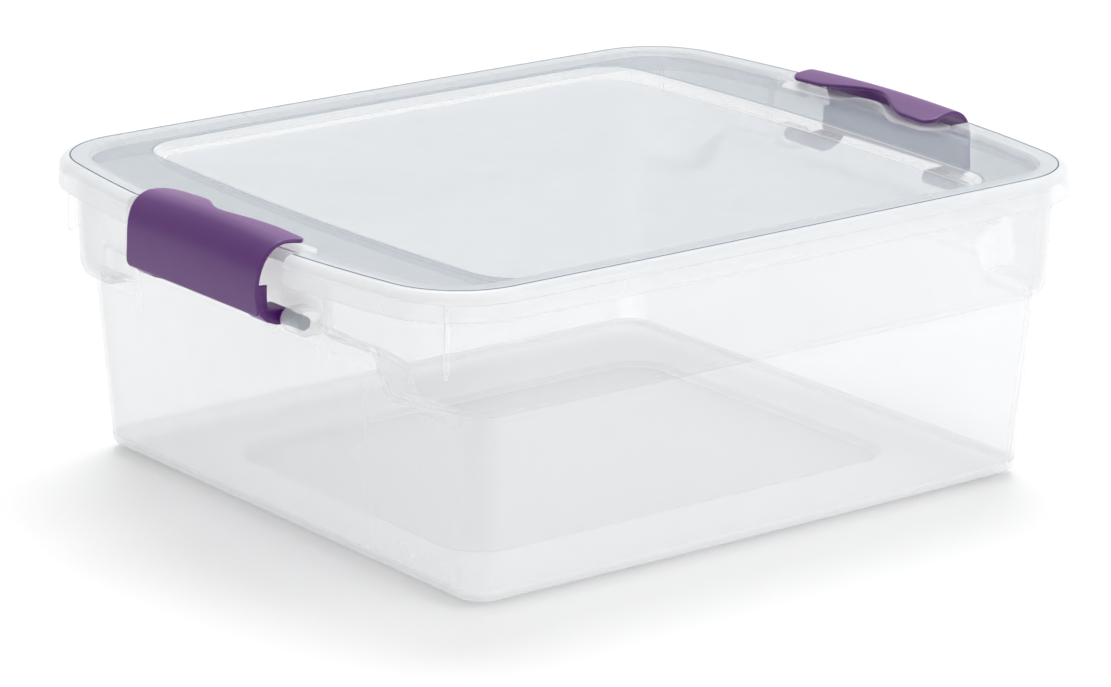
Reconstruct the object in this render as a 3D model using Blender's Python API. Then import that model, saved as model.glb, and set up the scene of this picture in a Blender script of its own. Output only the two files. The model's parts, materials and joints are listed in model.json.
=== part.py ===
"""Stackable storage bin: a clear tub, its lid and the two swing latches that hold it shut.

The long direction runs along X between the latches, the width along Y, and Z is up.
The origin is the middle of the foot that the bin stands on.  All sizes are in metres.
"""

import math

import bmesh
import bpy
from mathutils import Vector

# Lid
LID_LENGTH = 0.435
LID_WIDTH = 0.3435
RIM_TOP = 0.1565
LID_WALL = 0.0018
LID_CORNER = 0.0406
LID_END_BOW = 0.0116
LID_SIDE_BOW = 0.001
SHOULDER_REACH = 0.0075
SHOULDER_RADIUS = 0.0055
SKIRT_DEPTH = 0.0145
RIM_BAND = 0.0075
RIM_SLOPE = 0.0015
RIM_STEP = 0.0033
FIELD_AT_ENDS = 0.052
FIELD_AT_SIDES = 0.012
RECESS_CORNER = 0.025
RECESS_BOW = 0.005
RECESS_DEPTH = 0.0062
RECESS_SLOPE = 0.006

# Widths across each latch, measured from its middle
LATCH_HALF = 0.0555
WAIST_HALF = LATCH_HALF - 0.0015
CREST_HALF = LATCH_HALF + 0.001
LIP_HALF = LATCH_HALF + 0.003

# Gap in the lid's rim at each latch
NOTCH_SIDE_GAP = 0.004
NOTCH_HALF = LIP_HALF + NOTCH_SIDE_GAP
NOTCH_BLEND = 0.005
NOTCH_SET_BACK = 0.0045
NOTCH_LEDGE_DROP = 0.0019
NOTCH_SKIRT_DEPTH = 0.0085
NOTCH_EDGE_ROUND = 0.0009

# Tub
TUB_WALL = 0.002
LID_SEAT_GAP = 0.0003
BAND_INSET_END = 0.014
BAND_INSET_SIDE = 0.00675
BAND_CORNER = 0.038
BAND_BOW = 0.009
BAND_LEAN_END = 0.0026
BAND_LEAN_SIDE = 0.0004
BAND_LEAN_BOW = 0.0013
BEAD_REACH = 0.0032
BEAD_HEIGHT = 0.0018
BEAD_DROP = 0.0036
WALL_TOP_INSET_END = 0.027
WALL_TOP_INSET_SIDE = 0.0015
WALL_TOP_CORNER = 0.016
BASE_TAPER_END = 0.0046
BASE_TAPER_SIDE = 0.0072
BASE_CORNER = 0.0145
BASE_FILLET = 0.0035
FOOT_HEIGHT = 0.003
FOOT_MARGIN_END = 0.0395
FOOT_MARGIN_SIDE = 0.056
FOOT_CORNER = 0.02
FOOT_SLOPE = 0.004
SHELF_HEIGHT = 0.095
SHELF_ROUND = 0.011
SHELF_RISE = 0.0005

# Sockets that carry the latch pins
SOCKET_WALL = 0.0026
SOCKET_SIDE_GAP = 0.002
SOCKET_LENGTH = 0.0135
SOCKET_END_WALL = 0.0025

# Recess of the tub's end walls behind each latch
LATCH_BAY_MARGIN = 0.006
LATCH_BAY_HALF = LATCH_HALF + SOCKET_SIDE_GAP + SOCKET_LENGTH + LATCH_BAY_MARGIN
LATCH_BAY_BLEND = 0.007
LATCH_BAY_DEPTH = LID_WALL + 0.0024
LATCH_BAY_DROP = LID_WALL * 1.5 + 0.0006
LATCH_BAY_LEAN = LID_WALL * 0.5 + 0.0004
LATCH_SHELF_LIFT = 0.013
LATCH_SHELF_RISE = 0.0075
LATCH_SHELF_ROUND = 0.0055
LATCH_SHELF_MARGIN = 0.036
LATCH_SHELF_HALF = LATCH_BAY_HALF + LATCH_SHELF_MARGIN
LATCH_SHELF_BLEND = 0.01

# Corner fins on the tub
FIN_REACH = 0.0062
FIN_THICKNESS = 0.0022
FIN_HEIGHT = 0.035
FIN_ANGLE = math.radians(42)

# Latches
PIVOT_STANDOFF = 0.0015
PIVOT_DROP = 0.033
PIN_DIAMETER = 0.0061
PIN_LENGTH = 0.0115
PIN_CLEARANCE = 0.00035
LATCH_WALL = 0.002
EDGE_ROUND = 0.0014
KNUCKLE_WALL = 0.0008
FOOT_WIDTH = 0.0155
WAIST_HEIGHT = 0.014
PLATE_OUT = 0.0162
PLATE_START = 0.002
PLATE_BULGE = 0.0018
LIP_LIFT = 0.0036
CREST_OUT = 0.002
CREST_ARCH = 0.0015
LIP_GAP = 0.0004
WIDE_LOBE_REACH = 0.016
WIDE_LOBE_FROM = 0.030
DIP_REACH = 0.0015
DIP_CENTRE = -0.007
TONGUE_REACH = 0.0125
TONGUE_FROM = 0.034
LOBE_END_ROUND = 0.0075
FLANGE_DEPTH = 0.0045
FLANGE_TOP = 0.018
FLANGE_WALL = 0.0018
FLANGE_INSET = 0.0003

# Mesh fineness
END_STATIONS = (
    0.0,
    NOTCH_HALF * 0.4,
    NOTCH_HALF * 0.72,
    NOTCH_HALF - 0.006,
    NOTCH_HALF - NOTCH_BLEND / 2,
    NOTCH_HALF,
    NOTCH_HALF + NOTCH_BLEND / 2,
    LATCH_BAY_HALF - 0.0075,
    LATCH_BAY_HALF - LATCH_BAY_BLEND / 2,
    LATCH_BAY_HALF,
    LATCH_BAY_HALF + LATCH_BAY_BLEND / 2,
    LATCH_SHELF_HALF - 0.018,
    LATCH_SHELF_HALF - LATCH_SHELF_BLEND / 2,
    LATCH_SHELF_HALF,
    LATCH_SHELF_HALF + LATCH_SHELF_BLEND / 2,
)
CORNER_STEPS = 6
SIDE_STEPS = 2
PLATE_ROWS = 11
LIP_ROWS = 4
LATCH_COLUMNS = 22
ROUND_SEGMENTS = 20


def clear_scene():
    """Remove every object so that the file holds only this model."""
    for item in list(bpy.data.objects):
        bpy.data.objects.remove(item, do_unlink=True)


def smooth_step(value, start, end):
    """Rise smoothly from 0 at start to 1 at end."""
    share = min(max((value - start) / (end - start), 0.0), 1.0)
    return share * share * (3.0 - 2.0 * share)


def plastic(name, colour, roughness, transmission=0.0):
    """Return a moulded plastic material."""
    material = bpy.data.materials.new(name)
    material.use_nodes = True
    shader = material.node_tree.nodes["Principled BSDF"]
    shader.inputs["Base Color"].default_value = (*colour, 1.0)
    shader.inputs["Roughness"].default_value = roughness
    shader.inputs["Metallic"].default_value = 0.0
    shader.inputs["Transmission Weight"].default_value = transmission
    material.diffuse_color = (*colour, 1.0)
    return material


def quarter_outline(half_x, half_y, corner, end_bow, side_bow):
    """Points of one quarter of a rounded, slightly bowed rectangle, from +X round to +Y."""
    end_tilt = math.atan2(2.0 * end_bow, half_y - corner)
    side_tilt = math.atan2(2.0 * side_bow, half_x - corner)
    centre_x = half_x - end_bow - corner * math.cos(end_tilt)
    centre_y = half_y - side_bow - corner * math.cos(side_tilt)
    end_y = centre_y + corner * math.sin(end_tilt)
    end_x = centre_x + corner * math.sin(side_tilt)
    squeeze = min(1.0, 0.96 * end_y / END_STATIONS[-1])
    points = []
    for station in END_STATIONS:
        y = station * squeeze
        points.append((half_x - end_bow * (y / end_y) ** 2, y))
    for step in range(CORNER_STEPS + 1):
        angle = end_tilt + (math.pi / 2 - side_tilt - end_tilt) * step / CORNER_STEPS
        points.append((centre_x + corner * math.cos(angle), centre_y + corner * math.sin(angle)))
    for step in range(SIDE_STEPS - 1, -1, -1):
        x = end_x * step / SIDE_STEPS
        points.append((x, half_y - side_bow * (x / end_x) ** 2))
    return points


def outline(half_x, half_y, corner, end_bow=0.0, side_bow=0.0):
    """Closed outline, anticlockwise from the middle of the +X end."""
    quarter = quarter_outline(half_x, half_y, corner, end_bow, side_bow)
    points = list(quarter)
    points += [(-x, y) for x, y in reversed(quarter[:-1])]
    points += [(-x, -y) for x, y in quarter[1:]]
    points += [(x, -y) for x, y in reversed(quarter[1:-1])]
    return points


def lid_outline(reach):
    """Outline of the lid at a distance outside its top crease."""
    half_x = LID_LENGTH / 2 - SHOULDER_REACH + reach
    half_y = LID_WIDTH / 2 - SHOULDER_REACH + reach
    return outline(half_x, half_y, LID_CORNER + reach, LID_END_BOW, LID_SIDE_BOW)


def recess_outline(reach):
    """Outline of the lid's stacking recess at a distance outside its top edge."""
    half_x = LID_LENGTH / 2 - SHOULDER_REACH - FIELD_AT_ENDS + reach
    half_y = LID_WIDTH / 2 - SHOULDER_REACH - FIELD_AT_SIDES + reach
    return outline(half_x, half_y, RECESS_CORNER + reach, RECESS_BOW, LID_SIDE_BOW)


def band_outline(reach=0.0, lean=0.0):
    """Outline of the tub's upper band; lean is 0 at its foot and 1 at its top."""
    half_x = LID_LENGTH / 2 - BAND_INSET_END + BAND_LEAN_END * lean + reach
    half_y = LID_WIDTH / 2 - BAND_INSET_SIDE + BAND_LEAN_SIDE * lean + reach
    bow = BAND_BOW + BAND_LEAN_BOW * lean
    return outline(half_x, half_y, BAND_CORNER + reach, bow, LID_SIDE_BOW)


def wall_outline(reach=0.0):
    """Outline of the tapered lower walls at their top, under the shelf."""
    half_x = LID_LENGTH / 2 - BAND_INSET_END - WALL_TOP_INSET_END + reach
    half_y = LID_WIDTH / 2 - BAND_INSET_SIDE - WALL_TOP_INSET_SIDE + reach
    return outline(half_x, half_y, WALL_TOP_CORNER + reach, 0.0, LID_SIDE_BOW)


def base_outline(reach):
    """Outline of the base at a distance outside the foot of its walls."""
    half_x = LID_LENGTH / 2 - BAND_INSET_END - WALL_TOP_INSET_END - BASE_TAPER_END + reach
    half_y = LID_WIDTH / 2 - BAND_INSET_SIDE - WALL_TOP_INSET_SIDE - BASE_TAPER_SIDE + reach
    return outline(half_x, half_y, BASE_CORNER + reach, 0.0, LID_SIDE_BOW)


def foot_outline(reach):
    """Outline of the raised foot in the middle of the base."""
    half_x = LID_LENGTH / 2 - BAND_INSET_END - WALL_TOP_INSET_END - BASE_TAPER_END - FOOT_MARGIN_END
    half_y = LID_WIDTH / 2 - BAND_INSET_SIDE - WALL_TOP_INSET_SIDE - BASE_TAPER_SIDE - FOOT_MARGIN_SIDE
    return outline(half_x + reach, half_y + reach, FOOT_CORNER + reach)


def closed_shell(name, rings):
    """Solid wall from one run of rings, capped at its first and its last ring."""
    mesh = bpy.data.meshes.new(name)
    work = bmesh.new()
    rows = [[work.verts.new(point) for point in ring] for ring in rings]
    for lower, upper in zip(rows, rows[1:]):
        for index in range(len(lower)):
            after = (index + 1) % len(lower)
            work.faces.new((lower[index], lower[after], upper[after], upper[index]))
    work.faces.new(reversed(rows[0]))
    work.faces.new(rows[-1])
    bmesh.ops.recalc_face_normals(work, faces=work.faces)
    work.to_mesh(mesh)
    work.free()
    return mesh


def prism_mesh(name, profile, start_y, end_y):
    """Closed prism along Y from a profile of X and Z points."""
    mesh = bpy.data.meshes.new(name)
    work = bmesh.new()
    rows = [[work.verts.new((x, y, z)) for x, z in profile] for y in (start_y, end_y)]
    work.faces.new(rows[0])
    work.faces.new(reversed(rows[1]))
    for index in range(len(profile)):
        after = (index + 1) % len(profile)
        work.faces.new((rows[0][index], rows[0][after], rows[1][after], rows[1][index]))
    bmesh.ops.recalc_face_normals(work, faces=work.faces)
    work.to_mesh(mesh)
    work.free()
    return mesh


def rod_mesh(name, radius, start_y, end_y):
    """Closed round rod along Y, centred on the local axis."""
    profile = []
    for step in range(ROUND_SEGMENTS):
        angle = 2.0 * math.pi * step / ROUND_SEGMENTS
        profile.append((radius * math.cos(angle), radius * math.sin(angle)))
    return prism_mesh(name, profile, start_y, end_y)


def box_mesh(name, low, high):
    """Closed box between two corners."""
    profile = ((low[0], low[2]), (high[0], low[2]), (high[0], high[2]), (low[0], high[2]))
    return prism_mesh(name, profile, low[1], high[1])


def add_object(name, mesh, material, location=(0.0, 0.0, 0.0), turn=0.0):
    """Place a mesh in the scene under its own name and material."""
    item = bpy.data.objects.new(name, mesh)
    bpy.context.scene.collection.objects.link(item)
    item.location = location
    item.rotation_euler = (0.0, 0.0, turn)
    mesh.materials.append(material)
    mesh.shade_smooth()
    mesh.set_sharp_from_angle(angle=math.radians(35))
    return item


def join(item, operation, name, mesh, location=(0.0, 0.0, 0.0), turn=0.0):
    """Join a helper shape to a piece, or cut it out of it."""
    tool = bpy.data.objects.new(name, mesh)
    bpy.context.scene.collection.objects.link(tool)
    tool.location = location
    tool.rotation_euler = (0.0, 0.0, turn)
    tool.hide_render = True
    tool.display_type = "WIRE"
    step = item.modifiers.new(name, "BOOLEAN")
    step.operation = operation
    step.solver = "EXACT"
    step.object = tool


def blend_rings(plain, special, shares):
    """Ring between a plain ring and its special form, by a share for each point."""
    ring = []
    for (x, y, z), (special_x, special_y, special_z), share in zip(plain, special, shares):
        ring.append((x + (special_x - x) * share, y + (special_y - y) * share, z + (special_z - z) * share))
    return ring


def level(points, height):
    """Lift a flat outline to a height."""
    return [(x, y, height) for x, y in points]


def end_shares(points, half, blend):
    """1 in the middle of each end, 0 beyond a half width and along the sides."""
    shares = []
    for x, y in points:
        share = 1.0 - smooth_step(abs(y), half - blend / 2, half + blend / 2)
        shares.append(share if abs(x) > LID_LENGTH / 4 else 0.0)
    return shares


def lid_ring(reach, height, notch_reach, notch_height):
    """Ring of the lid, with its own reach and height in the gap at each latch."""
    plain = level(lid_outline(reach), height)
    notched = level(lid_outline(notch_reach), notch_height)
    return blend_rings(plain, notched, end_shares(lid_outline(reach), NOTCH_HALF, NOTCH_BLEND))


def build_lid(material):
    """Lid: skirt, rounded shoulder, rim band, flat field and stacking recess."""
    field = RIM_TOP - RIM_STEP
    ledge = RIM_TOP - NOTCH_LEDGE_DROP
    edge = -NOTCH_SET_BACK
    skirt_foot = RIM_TOP - SKIRT_DEPTH
    notch_foot = RIM_TOP - NOTCH_SKIRT_DEPTH
    centre = SHOULDER_REACH - SHOULDER_RADIUS
    inner_radius = SHOULDER_RADIUS - LID_WALL
    turns = [math.radians(degrees) for degrees in (0, 24, 48, 72)]
    rings = [lid_ring(SHOULDER_REACH, skirt_foot, edge, notch_foot)]
    for angle in turns:
        reach = centre + SHOULDER_RADIUS * math.cos(angle)
        height = RIM_TOP - SHOULDER_RADIUS * (1.0 - math.sin(angle))
        notch_reach = edge - NOTCH_EDGE_ROUND * (1.0 - math.cos(angle))
        notch_height = ledge - NOTCH_EDGE_ROUND * (1.0 - math.sin(angle))
        rings.append(lid_ring(reach, height, notch_reach, notch_height))
    crease = edge - NOTCH_EDGE_ROUND - 0.0004
    rings.append(lid_ring(0.0, RIM_TOP, crease, ledge))
    rings.append(lid_ring(-RIM_BAND, RIM_TOP, -RIM_BAND, ledge))
    rings.append(level(lid_outline(-RIM_BAND - RIM_SLOPE), field))
    rings.append(level(recess_outline(0.0), field))
    rings.append(level(recess_outline(-RECESS_SLOPE), field - RECESS_DEPTH))
    slope_shift = LID_WALL * 0.45
    under = LID_WALL
    rings.append(level(recess_outline(-RECESS_SLOPE + slope_shift), field - RECESS_DEPTH - under))
    rings.append(level(recess_outline(slope_shift), field - under))
    rim_shift = LID_WALL * 0.62
    rings.append(level(lid_outline(-RIM_BAND - RIM_SLOPE + rim_shift), field - under))
    rings.append(lid_ring(-RIM_BAND + rim_shift, RIM_TOP - under, -RIM_BAND + rim_shift, ledge - under))
    notch_inner = edge - LID_WALL
    rings.append(lid_ring(0.0, RIM_TOP - under, notch_inner - 0.0003, ledge - under))
    for angle in reversed(turns[:-1]):
        reach = centre + inner_radius * math.cos(angle)
        height = RIM_TOP - SHOULDER_RADIUS + inner_radius * math.sin(angle)
        step = math.sin(angle) * 0.0003
        rings.append(lid_ring(reach, height, notch_inner - step, ledge - under - 0.0006 + step))
    rings.append(lid_ring(SHOULDER_REACH - LID_WALL, skirt_foot, notch_inner, notch_foot))
    return add_object("lid", ringed_wall("lid", rings), material)


def ringed_wall(name, rings):
    """Solid from rings that go round a wall and back, with its cap rings in the middle.

    The first and last ring meet at the wall's free edge.  The turn from the outer
    face to the inner one is the ring pair with the smallest outline, which is
    closed by two faces.
    """
    sizes = [max(point[0] for point in ring) for ring in rings]
    inner = min(range(len(rings) - 1), key=lambda index: sizes[index] + sizes[index + 1])
    order = rings[inner + 1:] + rings[:inner + 1]
    return closed_shell(name, order)


def tub_ring(reach, lean, height, bay_reach, bay_height):
    """Ring of the tub's band, with its own reach and height in the bay behind each latch."""
    plain = level(band_outline(reach, lean), height)
    bay = level(band_outline(bay_reach - LATCH_BAY_DEPTH, lean), bay_height)
    return blend_rings(plain, bay, end_shares(band_outline(), LATCH_BAY_HALF, LATCH_BAY_BLEND))


def shelf_ring(share, plain_height, latch_height, reach):
    """Ring part of the way from the lower walls to the band, higher beside each latch."""
    foot = tub_ring(reach, 0.0, plain_height, reach, plain_height)
    middle = []
    for (wall_x, wall_y), (band_x, band_y, height) in zip(wall_outline(reach), foot):
        middle.append((wall_x + (band_x - wall_x) * share, wall_y + (band_y - wall_y) * share, height))
    raised = [(x, y, latch_height) for x, y, height in middle]
    return blend_rings(middle, raised, end_shares(band_outline(), LATCH_SHELF_HALF, LATCH_SHELF_BLEND))


def shelf_steps():
    """Share of the way out and height, plain and beside a latch, for the shelf's rings."""
    top = SHELF_HEIGHT + SHELF_RISE
    latch = SHELF_HEIGHT + LATCH_SHELF_LIFT
    latch_top = latch + LATCH_SHELF_RISE
    steps = [(0.0, SHELF_HEIGHT - 0.004, latch - 0.004), (0.07, SHELF_HEIGHT, latch)]
    for degrees in (8, 30, 60, 90):
        angle = math.radians(degrees)
        share = 0.62 + 0.38 * math.sin(angle)
        lift = 1.0 - math.cos(angle)
        steps.append((share, top + SHELF_ROUND * lift, latch_top + LATCH_SHELF_ROUND * lift))
    return steps


def build_tub(material):
    """Tub: foot, tapered walls, shelf, upper band with a bead, fins and latch sockets."""
    band_top = RIM_TOP - LID_WALL - LID_SEAT_GAP
    bay_top = band_top - LATCH_BAY_DROP
    wall = TUB_WALL
    floor = FOOT_HEIGHT + wall
    rings = [level(foot_outline(0.0), 0.0), level(foot_outline(FOOT_SLOPE), FOOT_HEIGHT)]
    for degrees in (0, 45, 90):
        angle = math.radians(degrees)
        reach = -BASE_FILLET * (1.0 - math.sin(angle))
        rings.append(level(base_outline(reach), FOOT_HEIGHT + BASE_FILLET * (1.0 - math.cos(angle))))
    for share, height, latch_height in shelf_steps():
        rings.append(shelf_ring(share, height, latch_height, 0.0))
    bead_top = band_top - BEAD_DROP
    small = 0.0003
    out = LATCH_BAY_LEAN
    rings.append(tub_ring(0.0, 0.92, bead_top - BEAD_HEIGHT, out, bay_top - BEAD_HEIGHT))
    rings.append(tub_ring(BEAD_REACH, 0.92, bead_top - BEAD_HEIGHT * 0.8, out, bay_top - BEAD_HEIGHT * 0.8))
    rings.append(tub_ring(BEAD_REACH, 0.96, bead_top, out, bay_top - small))
    rings.append(tub_ring(0.0, 0.96, bead_top + small, out, bay_top - small / 2))
    rings.append(tub_ring(0.0, 1.0, band_top, out - small, bay_top))
    rings.append(tub_ring(-wall, 1.0, band_top, out - wall, bay_top))
    for share, height, latch_height in reversed(shelf_steps()):
        rings.append(shelf_ring(share, height + wall, latch_height + wall, -wall))
    rings.append(level(base_outline(-wall), FOOT_HEIGHT + BASE_FILLET))
    rings.append(level(base_outline(-BASE_FILLET), floor))
    rings.append(level(foot_outline(FOOT_SLOPE * 0.82), floor))
    rings.append(level(foot_outline(-FOOT_SLOPE * 0.18), wall))
    tub = add_object("bin_body", closed_shell("bin_body", rings), material)
    join_fins(tub, bead_top - BEAD_HEIGHT / 2)
    join_sockets(tub)


def join_fins(tub, top):
    """Four upright fins that stand out from the band's corners, up to the bead."""
    half_x = LID_LENGTH / 2 - BAND_INSET_END
    half_y = LID_WIDTH / 2 - BAND_INSET_SIDE
    centre_x = half_x - BAND_BOW - BAND_CORNER
    centre_y = half_y - LID_SIDE_BOW - BAND_CORNER
    low = (BAND_CORNER - TUB_WALL / 2, -FIN_THICKNESS / 2, top - FIN_HEIGHT)
    high = (BAND_CORNER + FIN_REACH, FIN_THICKNESS / 2, top)
    for side_x, side_y in ((1, 1), (-1, 1), (-1, -1), (1, -1)):
        angle = math.atan2(side_y * math.sin(FIN_ANGLE), side_x * math.cos(FIN_ANGLE))
        place = (side_x * centre_x, side_y * centre_y, 0.0)
        join(tub, "UNION", "fin", box_mesh("fin", low, high), place, angle)


def pivot_point():
    """Hinge axis of the latch on the +X end, as X and Z."""
    return LID_LENGTH / 2 - BAND_INSET_END + PIVOT_STANDOFF, RIM_TOP - PIVOT_DROP


def join_sockets(tub):
    """Bosses in each latch bay, bored for the ends of the latch pins."""
    pivot_x, pivot_z = pivot_point()
    bore = PIN_DIAMETER / 2 + PIN_CLEARANCE
    radius = bore + SOCKET_WALL
    start = LATCH_HALF + SOCKET_SIDE_GAP
    end = start + SOCKET_LENGTH
    root = -PIVOT_STANDOFF - LATCH_BAY_DEPTH - TUB_WALL
    for turn in (0.0, math.pi):
        place = (math.cos(turn) * pivot_x, 0.0, pivot_z)
        for way in (-1, 1):
            near, far = sorted((way * start, way * end))
            arm = box_mesh("socket_arm", (root, near + 0.0002, -radius * 0.9), (0.0, far - 0.0002, radius * 0.9))
            join(tub, "UNION", "socket_arm", arm, place, turn)
            join(tub, "UNION", "socket", rod_mesh("socket", radius, near, far), place, turn)
    for turn in (0.0, math.pi):
        place = (math.cos(turn) * pivot_x, 0.0, pivot_z)
        for way in (-1, 1):
            near, far = sorted((way * (start - SOCKET_SIDE_GAP / 2), way * (end - SOCKET_END_WALL)))
            join(tub, "DIFFERENCE", "socket_bore", rod_mesh("socket_bore", bore, near, far), place, turn)


def bezier(points, share):
    """Point and direction of a cubic curve in the X-Z plane."""
    first, second, third, fourth = points
    rest = 1.0 - share
    place = (first * rest ** 3 + second * 3 * rest ** 2 * share
             + third * 3 * rest * share ** 2 + fourth * share ** 3)
    slope = ((second - first) * rest ** 2 + (third - second) * 2 * rest * share
             + (fourth - third) * share ** 2)
    return place, slope.normalized()


def latch_curves():
    """Outer face of the latch from its hinge axis: the plate, then the lip over the rim."""
    ledge = PIVOT_DROP - NOTCH_LEDGE_DROP
    tip_height = ledge + LIP_GAP + LATCH_WALL
    crest = tip_height + LIP_LIFT
    start = Vector((PLATE_OUT, PLATE_START))
    end = Vector((CREST_OUT, crest))
    low = Vector((PLATE_OUT + PLATE_BULGE, PLATE_START + (crest - PLATE_START) * 0.4))
    high = Vector((PLATE_OUT + PLATE_BULGE * 0.7, crest - LIP_LIFT * 0.4))
    lip_mid = Vector((CREST_OUT - 0.006, crest))
    lip_low = Vector((-WIDE_LOBE_REACH * 0.62, tip_height + LIP_LIFT * 0.62))
    return (start, low, high, end), (end, lip_mid, lip_low, Vector((-WIDE_LOBE_REACH, tip_height)))


def lip_reach(y, half):
    """How far the lip reaches in over the lid: a wide lobe, a dip and a tongue."""
    if y < DIP_CENTRE:
        lobe = WIDE_LOBE_REACH
        share = smooth_step(-y, -DIP_CENTRE, WIDE_LOBE_FROM)
    else:
        lobe = TONGUE_REACH
        share = smooth_step(y, DIP_CENTRE, TONGUE_FROM)
    reach = DIP_REACH + (lobe - DIP_REACH) * share
    past = max(abs(y) - (half - LOBE_END_ROUND), 0.0) / LOBE_END_ROUND
    return reach - LOBE_END_ROUND * (1.0 - math.sqrt(max(1.0 - past * past, 0.0)))


def half_width(height, crest):
    """Half width of the latch at a height above its hinge axis."""
    if height < WAIST_HEIGHT:
        return LATCH_HALF + (WAIST_HALF - LATCH_HALF) * smooth_step(height, 0.0, WAIST_HEIGHT)
    return WAIST_HALF + (CREST_HALF - WAIST_HALF) * smooth_step(height, WAIST_HEIGHT, crest)


def lip_share(lip, reach):
    """Share of the lip curve at which it has come in by a reach past the hinge axis."""
    low, high = 0.0, 1.0
    for turn in range(30):
        middle = (low + high) / 2
        if -bezier(lip, middle)[0].x < reach:
            low = middle
        else:
            high = middle
    return high


def latch_columns():
    """Places across the latch from -1 to 1, close together at the two edges."""
    inner = [-1.0 + 2.0 * index / LATCH_COLUMNS for index in range(1, LATCH_COLUMNS)]
    return sorted(inner + [-1.0, 1.0, -0.985, 0.985])


def latch_grid(depth, rounded):
    """Rows of points at a depth behind the latch's outer face."""
    plate, lip = latch_curves()
    crest = plate[3].y
    rows = []
    for number in range(PLATE_ROWS + 1 + LIP_ROWS):
        row = []
        for place in latch_columns():
            if number <= PLATE_ROWS:
                point, slope = bezier(plate, number / PLATE_ROWS)
                half = half_width(point.y, crest)
                y = place * half
                edge = half - abs(y)
            else:
                part = (number - PLATE_ROWS) / LIP_ROWS
                half = CREST_HALF + (LIP_HALF - CREST_HALF) * part
                y = place * half
                reach = lip_reach(y, half)
                point, slope = bezier(lip, lip_share(lip, reach) * part)
                edge = min(half - abs(y), (reach + CREST_OUT) * (1.0 - part))
            short = 1.0 - min(edge / EDGE_ROUND, 1.0)
            back = depth + rounded * (1.0 - math.sqrt(1.0 - short * short))
            arch = CREST_ARCH * (1.0 - place * place) * max(point.y, 0.0) / crest
            spot = point + Vector((-slope.y, slope.x)) * back
            row.append((spot.x, y, spot.y + arch))
        rows.append(row)
    return rows


def grid_solid(name, outer, inner):
    """Closed slab between two grids of points."""
    mesh = bpy.data.meshes.new(name)
    work = bmesh.new()
    layers = [[[work.verts.new(point) for point in row] for row in grid] for grid in (outer, inner)]
    last = len(outer) - 1
    end = len(outer[0]) - 1
    for rows in layers:
        for row in range(last):
            for column in range(end):
                work.faces.new((rows[row][column], rows[row][column + 1],
                                rows[row + 1][column + 1], rows[row + 1][column]))
    top, bottom = layers
    for column in range(end):
        for row in (0, last):
            work.faces.new((top[row][column], top[row][column + 1],
                            bottom[row][column + 1], bottom[row][column]))
    for row in range(last):
        for column in (0, end):
            work.faces.new((top[row][column], top[row + 1][column],
                            bottom[row + 1][column], bottom[row][column]))
    bmesh.ops.recalc_face_normals(work, faces=work.faces)
    work.to_mesh(mesh)
    work.free()
    return mesh


def flange_profile():
    """Profile of a side flange: a strip behind the plate, up to its rounded top."""
    plate = latch_curves()[0]
    outer = []
    inner = []
    for step in range(7):
        share = 0.01 + 0.4 * step / 6
        point, slope = bezier(plate, share)
        if point.y > FLANGE_TOP:
            break
        inward = Vector((-slope.y, slope.x))
        outer.append(tuple(point + inward * LATCH_WALL * 0.5))
        inner.append(tuple(point + inward * (LATCH_WALL + FLANGE_DEPTH)))
    return outer + inner[::-1]


def build_latch(side_name, turn, material):
    """One latch: plate, lip, side flanges, and feet with the hinge pins."""
    pivot_x, pivot_z = pivot_point()
    place = (math.cos(turn) * pivot_x, 0.0, pivot_z)
    slab = grid_solid("latch", latch_grid(0.0, LATCH_WALL * 0.5), latch_grid(LATCH_WALL, 0.0))
    latch = add_object("latch_" + side_name, slab, material, place, turn)
    pin = PIN_DIAMETER / 2
    knuckle = pin + KNUCKLE_WALL
    plate = latch_curves()[0]
    mid = LATCH_WALL * 0.6
    low = bezier(plate, 0.02)[0]
    high = bezier(plate, 0.2)[0]
    root = knuckle * 0.93
    foot = ((0.0, -root), (low.x * 0.55, -root), (low.x - mid, low.y), (high.x - mid, high.y), (0.0, root))
    profile = flange_profile()
    for way in (-1, 1):
        outer_side = WAIST_HALF - FLANGE_INSET
        near, far = sorted((way * (outer_side - FLANGE_WALL), way * outer_side))
        join(latch, "UNION", "flange", prism_mesh("flange", profile, near, far), place, turn)
        inner_side = LATCH_HALF - FOOT_WIDTH
        near, far = sorted((way * (inner_side + 0.0003), way * (outer_side - 0.0004)))
        join(latch, "UNION", "foot", prism_mesh("foot", foot, near, far), place, turn)
        near, far = sorted((way * inner_side, way * LATCH_HALF))
        join(latch, "UNION", "knuckle", rod_mesh("knuckle", knuckle, near, far), place, turn)
        near, far = sorted((way * (LATCH_HALF - 0.001), way * (LATCH_HALF + PIN_LENGTH)))
        join(latch, "UNION", "pin", rod_mesh("pin", pin, near, far), place, turn)


def main():
    """Build the whole bin."""
    clear_scene()
    build_tub(plastic("clear_tub", (0.86, 0.88, 0.89), 0.2, 0.9))
    build_lid(plastic("clear_lid", (0.84, 0.87, 0.88), 0.22, 0.9))
    build_latch("left", math.pi, plastic("purple_left", (0.115, 0.035, 0.16), 0.4))
    build_latch("right", 0.0, plastic("purple_right", (0.115, 0.035, 0.16), 0.4))


main()
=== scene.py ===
"""Clear stackable storage bin with a lift-off lid and two purple swing latches."""

import json
import math

import bmesh
import bpy
from mathutils import Matrix, Vector


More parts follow.
